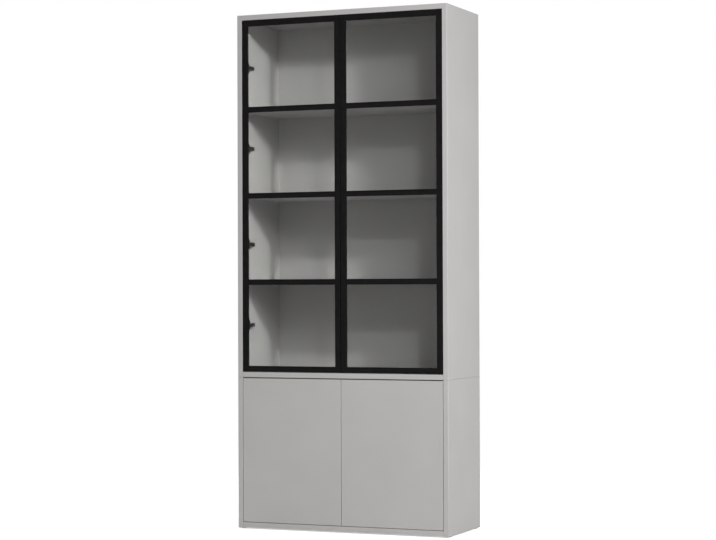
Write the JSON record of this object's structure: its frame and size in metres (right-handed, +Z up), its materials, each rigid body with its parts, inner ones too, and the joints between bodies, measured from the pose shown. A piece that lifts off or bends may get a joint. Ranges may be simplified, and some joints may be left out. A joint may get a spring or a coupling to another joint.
{
  "type": "display cabinet",
  "caption": "Tall display cabinet: plain handleless cupboard doors below, black-framed glass doors with glazing bars over shelves above, concealed hinges and push latches.",
  "frame": {"origin": "centre of the floor area, on the floor", "axes": "+Z up, -Y out of the doors' front, +X to the right of someone facing the doors"},
  "size_m": [0.96, 0.39, 2.2],
  "materials": {
    "painted_panel": "satin light grey paint on board",
    "black_frame": "fine matt black powder coat",
    "clear_glass": "clear float glass",
    "black_gasket": "matt",
    "hinge_metal": "dark nickel plate",
    "latch_plastic": "moulded",
    "plunger_plastic": "moulded",
    "glide_plastic": "moulded",
    "zinc_steel": "zinc plate"
  },
  "bodies": {
    "cabinet": {"lower_side_left": "painted_panel", "lower_side_right": "painted_panel", "lower_bottom_board": "painted_panel", "lower_top_board": "painted_panel", "lower_back_board": "painted_panel", "lower_shelf": "painted_panel", "upper_side_left": "painted_panel", "upper_side_right": "painted_panel", "upper_bottom_board": "painted_panel", "upper_top_board": "painted_panel", "upper_back_board": "painted_panel", "display_shelf_1": "painted_panel", "display_shelf_2": "painted_panel", "display_shelf_3": "painted_panel", "glide_front_left": "glide_plastic", "glide_rear_left": "glide_plastic", "glide_front_right": "glide_plastic", "glide_rear_right": "glide_plastic", "wall_bracket_left": "zinc_steel", "wall_bracket_right": "zinc_steel", "left_glass_hinge_1_arm": "hinge_metal", "left_glass_hinge_2_arm": "hinge_metal", "left_glass_hinge_3_arm": "hinge_metal", "left_glass_hinge_4_arm": "hinge_metal", "left_lower_hinge_1_arm": "hinge_metal", "left_lower_hinge_2_arm": "hinge_metal", "left_glass_latch_body": "latch_plastic", "left_lower_latch_body": "latch_plastic", "right_glass_hinge_1_arm": "hinge_metal", "right_glass_hinge_2_arm": "hinge_metal", "right_glass_hinge_3_arm": "hinge_metal", "right_glass_hinge_4_arm": "hinge_metal", "right_lower_hinge_1_arm": "hinge_metal", "right_lower_hinge_2_arm": "hinge_metal", "right_glass_latch_body": "latch_plastic", "right_lower_latch_body": "latch_plastic"},
    "left_glass_door": {"left_glass_door_frame": "black_frame", "left_door_glass": "clear_glass", "left_door_gasket": "black_gasket", "left_glass_hinge_1_cup": "hinge_metal", "left_glass_hinge_2_cup": "hinge_metal", "left_glass_hinge_3_cup": "hinge_metal", "left_glass_hinge_4_cup": "hinge_metal"},
    "left_lower_door": {"left_lower_door": "painted_panel", "left_lower_hinge_1_cup": "hinge_metal", "left_lower_hinge_2_cup": "hinge_metal"},
    "left_glass_plunger": {"left_glass_latch_plunger": "plunger_plastic"},
    "left_lower_plunger": {"left_lower_latch_plunger": "plunger_plastic"},
    "right_glass_door": {"right_glass_door_frame": "black_frame", "right_door_glass": "clear_glass", "right_door_gasket": "black_gasket", "right_glass_hinge_1_cup": "hinge_metal", "right_glass_hinge_2_cup": "hinge_metal", "right_glass_hinge_3_cup": "hinge_metal", "right_glass_hinge_4_cup": "hinge_metal"},
    "right_lower_door": {"right_lower_door": "painted_panel", "right_lower_hinge_1_cup": "hinge_metal", "right_lower_hinge_2_cup": "hinge_metal"},
    "right_glass_plunger": {"right_glass_latch_plunger": "plunger_plastic"},
    "right_lower_plunger": {"right_lower_latch_plunger": "plunger_plastic"}
  },
  "joints": [
    {"name": "left_glass_door_hinge", "type": "hinge", "parent": "cabinet", "child": "left_glass_door", "pos_m": [-0.4545, -0.1955, 0.6723], "axis": [0, 0, -1], "range_deg": [0, 100]},
    {"name": "left_lower_door_hinge", "type": "hinge", "parent": "cabinet", "child": "left_lower_door", "pos_m": [-0.4545, -0.1955, 0.03], "axis": [0, 0, -1], "range_deg": [0, 100]},
    {"name": "left_glass_plunger_push", "type": "slide", "parent": "cabinet", "child": "left_glass_plunger", "axis": [0, 1, 0], "range_m": [0, 0.004], "stiffness_N_per_m": 1500},
    {"name": "left_lower_plunger_push", "type": "slide", "parent": "cabinet", "child": "left_lower_plunger", "axis": [0, 1, 0], "range_m": [0, 0.004], "stiffness_N_per_m": 1500},
    {"name": "right_glass_door_hinge", "type": "hinge", "parent": "cabinet", "child": "right_glass_door", "pos_m": [0.4545, -0.1955, 0.6723], "axis": [0, 0, 1], "range_deg": [0, 100]},
    {"name": "right_lower_door_hinge", "type": "hinge", "parent": "cabinet", "child": "right_lower_door", "pos_m": [0.4545, -0.1955, 0.03], "axis": [0, 0, 1], "range_deg": [0, 100]},
    {"name": "right_glass_plunger_push", "type": "slide", "parent": "cabinet", "child": "right_glass_plunger", "axis": [0, 1, 0], "range_m": [0, 0.004], "stiffness_N_per_m": 1500},
    {"name": "right_lower_plunger_push", "type": "slide", "parent": "cabinet", "child": "right_lower_plunger", "axis": [0, 1, 0], "range_m": [0, 0.004], "stiffness_N_per_m": 1500}
  ]
}
